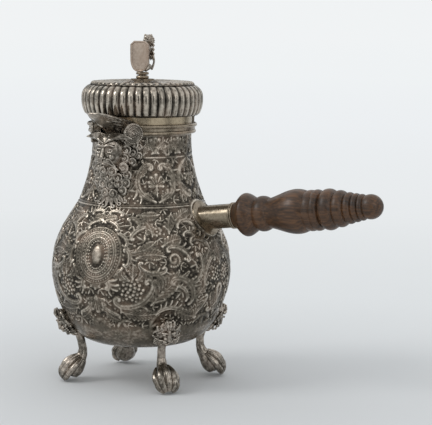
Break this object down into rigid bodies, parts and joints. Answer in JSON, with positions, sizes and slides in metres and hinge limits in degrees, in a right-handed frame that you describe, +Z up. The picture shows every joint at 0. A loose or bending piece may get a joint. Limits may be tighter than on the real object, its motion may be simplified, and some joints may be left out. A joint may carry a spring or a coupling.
{
  "type": "chocolate pot",
  "caption": "Small footed silver chocolate pot, pear-shaped, with a hinged gadrooned lid, an open beak spout and a turned wooden side handle.",
  "frame": {"origin": "on the pot's upright axis, in the plane that the four paws stand on", "axes": "+Z up; the spout points along -Y, the hinge lies at +Y, the handle points along +X"},
  "size_m": [0.1935, 0.1079, 0.1927],
  "materials": {
    "silver": "embossed, oxidised in the hollows, polished on the relief",
    "silver_gilt": "plain, polished, faint gilding",
    "turned_wood": "turned dark hardwood, polished"
  },
  "bodies": {
    "pot": {"body_shell": "silver", "base_disc": "silver", "neck_ring_upper": "silver", "neck_ring_lower": "silver", "neck_band": "silver", "spout_beak": "silver", "spout_mask": "silver", "spout_volute_left": "silver", "spout_volute_right": "silver", "handle_saddle": "silver", "handle_socket": "silver", "socket_ring": "silver", "handle_pin": "silver", "foot_front_right": "silver", "foot_back_right": "silver", "foot_back_left": "silver", "foot_front_left": "silver", "foot_mask_front_right": "silver", "foot_mask_back_right": "silver", "foot_mask_back_left": "silver", "foot_mask_front_left": "silver", "hinge_body_leaf": "silver", "hinge_pin": "silver", "mouth_collar": "silver_gilt", "handle_grip": "turned_wood"},
    "lid": {"lid_rim": "silver", "lid_top": "silver", "lid_bezel": "silver_gilt", "hinge_lid_leaf": "silver", "finial_plinth": "silver", "finial_lion": "silver", "finial_shield": "silver", "finial_washer": "silver", "finial_nut": "silver"}
  },
  "joints": [
    {"name": "lid_hinge", "type": "hinge", "parent": "pot", "child": "lid", "pos_m": [0, 0.0346, 0.1469], "axis": [-1, 0, 0], "range_deg": [0, 100]}
  ]
}
